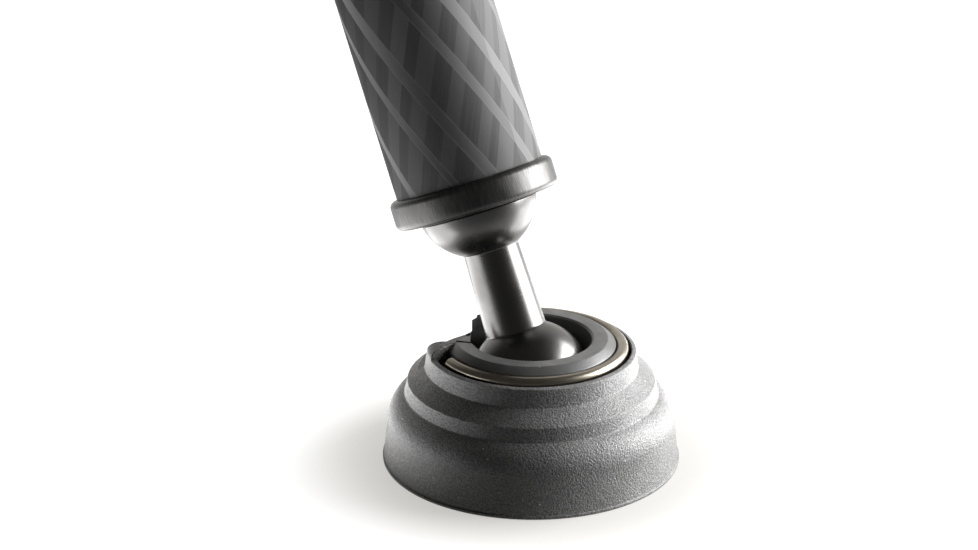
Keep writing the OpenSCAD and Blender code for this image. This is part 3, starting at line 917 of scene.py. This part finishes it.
def add_camera():
    data = bpy.data.cameras.new("camera")
    data.sensor_fit = "HORIZONTAL"
    data.sensor_width = SENSOR_W
    data.lens = FOCAL_PX * SENSOR_W / IMAGE_W
    data.clip_start = 0.01
    camera = bpy.data.objects.new("camera", data)
    camera.location = TO_CAMERA * VIEW_REACH + UP * VIEW_HEIGHT
    camera.rotation_euler = (math.pi / 2 - VIEW_PITCH, 0, VIEW_AZIMUTH + VIEW_YAW)
    bpy.context.scene.collection.objects.link(camera)
    bpy.context.scene.camera = camera


# Studio: a soft box at the right, three lights set in the table, a white surround behind the object and
# a dark room in front of it

AIM = Vector((0, 0, 0.03))
RIGHT_PLACE = TO_RIGHT * 0.42 - TO_CAMERA * 0.1 + UP * 0.17
TABLE_LIGHT_Z = 0.5 * MM
WARM_WHITE = (1, 0.985, 0.94, 1)
# How far round from straight behind the surround fades, as cosines, and the room's level
SURROUND_DARK, SURROUND_WHITE = 0.3, 0.8
ROOM_LEVEL, ROOM_MIRRORED = 0.02, 0.05


def add_light(name, place, turn, width, height, radiance):
    """A rectangular light that the camera doesn't see."""
    data = bpy.data.lights.new(name, "AREA")
    data.shape = "RECTANGLE"
    data.size = width
    data.size_y = height
    data.energy = radiance * math.pi * width * height
    light = bpy.data.objects.new(name, data)
    light.location = place
    light.rotation_euler = turn
    light.visible_camera = False
    bpy.context.scene.collection.objects.link(light)


def add_soft_box(name, place, width, height, radiance):
    """A light that faces the foot."""
    turn = (AIM - place).to_track_quat("-Z", "Y").to_euler()
    add_light(name, place, turn, width, height, radiance)


def add_table_light(name, side, near, far, front, back, radiance):
    """A light set in the table beside the object, which shines up."""
    place = side * (near + far) / 2 + TO_CAMERA * (front + back) / 2 + UP * TABLE_LIGHT_Z
    turn = (math.pi, 0, VIEW_AZIMUTH)
    add_light(name, place, turn, far - near, front - back, radiance)


def add_world():
    """White to the camera; to all other rays white behind the object and dark in front of it."""
    world = bpy.data.worlds.new("studio")
    world.use_nodes = True
    bpy.context.scene.world = world
    w = Nodes(world.node_tree)
    away = w.dot(w.node("TexCoord").outputs["Generated"], -TO_CAMERA)
    rays = w.node("LightPath").outputs
    room = w.calc("ADD", w.calc("MULTIPLY", rays["Is Glossy Ray"], ROOM_MIRRORED), ROOM_LEVEL)
    surround = w.span(away, SURROUND_DARK, SURROUND_WHITE, room, 1.0)
    back = world.node_tree.nodes["Background"]
    w.give(back.inputs["Color"], w.mix(rays["Is Camera Ray"], WARM_WHITE, grey(1.0)))
    w.give(back.inputs["Strength"], w.calc("MAXIMUM", rays["Is Camera Ray"], surround))


FLOOR_HALF = 3.0
FLOOR_Z = -0.02 * MM
# The soft shadow round the foot: where it starts and ends, and its level
SHADOW_IN, SHADOW_OUT, SHADOW_LEVEL = 24 * MM, 46 * MM, 0.55
# Where the table fades from dark in front of the foot to white behind it, and its mirrored level in front
FADE_FRONT, FADE_BACK, FRONT_LEVEL = 90 * MM, -20 * MM, 0.17


def add_floor():
    """The white table, which glows to the camera and in reflections and throws little light back."""
    data = bpy.data.meshes.new("floor")
    corners = [(-1, -1), (1, -1), (1, 1), (-1, 1)]
    data.from_pydata([(x * FLOOR_HALF, y * FLOOR_HALF, FLOOR_Z) for x, y in corners], [], [(0, 1, 2, 3)])
    floor = bpy.data.objects.new("floor", data)
    bpy.context.scene.collection.objects.link(floor)
    f = Finish("floor", Roughness=0.7, Specular_IOR_Level=0.2)
    reach = f.node("VectorMath", {0: f.place}, operation="LENGTH").outputs["Value"]
    towards = f.dot(f.place, TO_CAMERA)
    rays = f.node("LightPath").outputs
    glow = f.span(reach, SHADOW_IN, SHADOW_OUT, SHADOW_LEVEL, 1.0)
    mirrored = f.span(towards, FADE_FRONT, FADE_BACK, FRONT_LEVEL, 1.0)
    seen = f.calc("MULTIPLY", rays["Is Camera Ray"], glow)
    reflected = f.calc("MULTIPLY", rays["Is Glossy Ray"], mirrored)
    bounce = f.mix(f.span(towards, FADE_FRONT, FADE_BACK), grey(0.02), grey(0.08))
    f.finish(
        Base_Color=f.mix(rays["Is Camera Ray"], bounce, grey(0.25)),
        Emission_Color=f.mix(f.span(reach, SHADOW_IN, SHADOW_OUT), WARM_WHITE, grey(1.0)),
        Emission_Strength=f.calc("ADD", seen, reflected),
    )
    data.materials.append(f.material)


add_camera()
add_soft_box("right_box", RIGHT_PLACE, width=0.4, height=0.34, radiance=18.0)
add_table_light("left_table", -TO_RIGHT, near=0.032, far=0.12, front=0.025, back=-0.05, radiance=4.1)
add_table_light("front_table", -TO_RIGHT, near=0.08, far=0.22, front=0.1, back=0.025, radiance=4.5)
add_table_light("right_table", TO_RIGHT, near=0.035, far=0.15, front=0.0, back=-0.12, radiance=5.0)
add_world()
add_floor()

bpy.context.scene.view_settings.view_transform = "Standard"
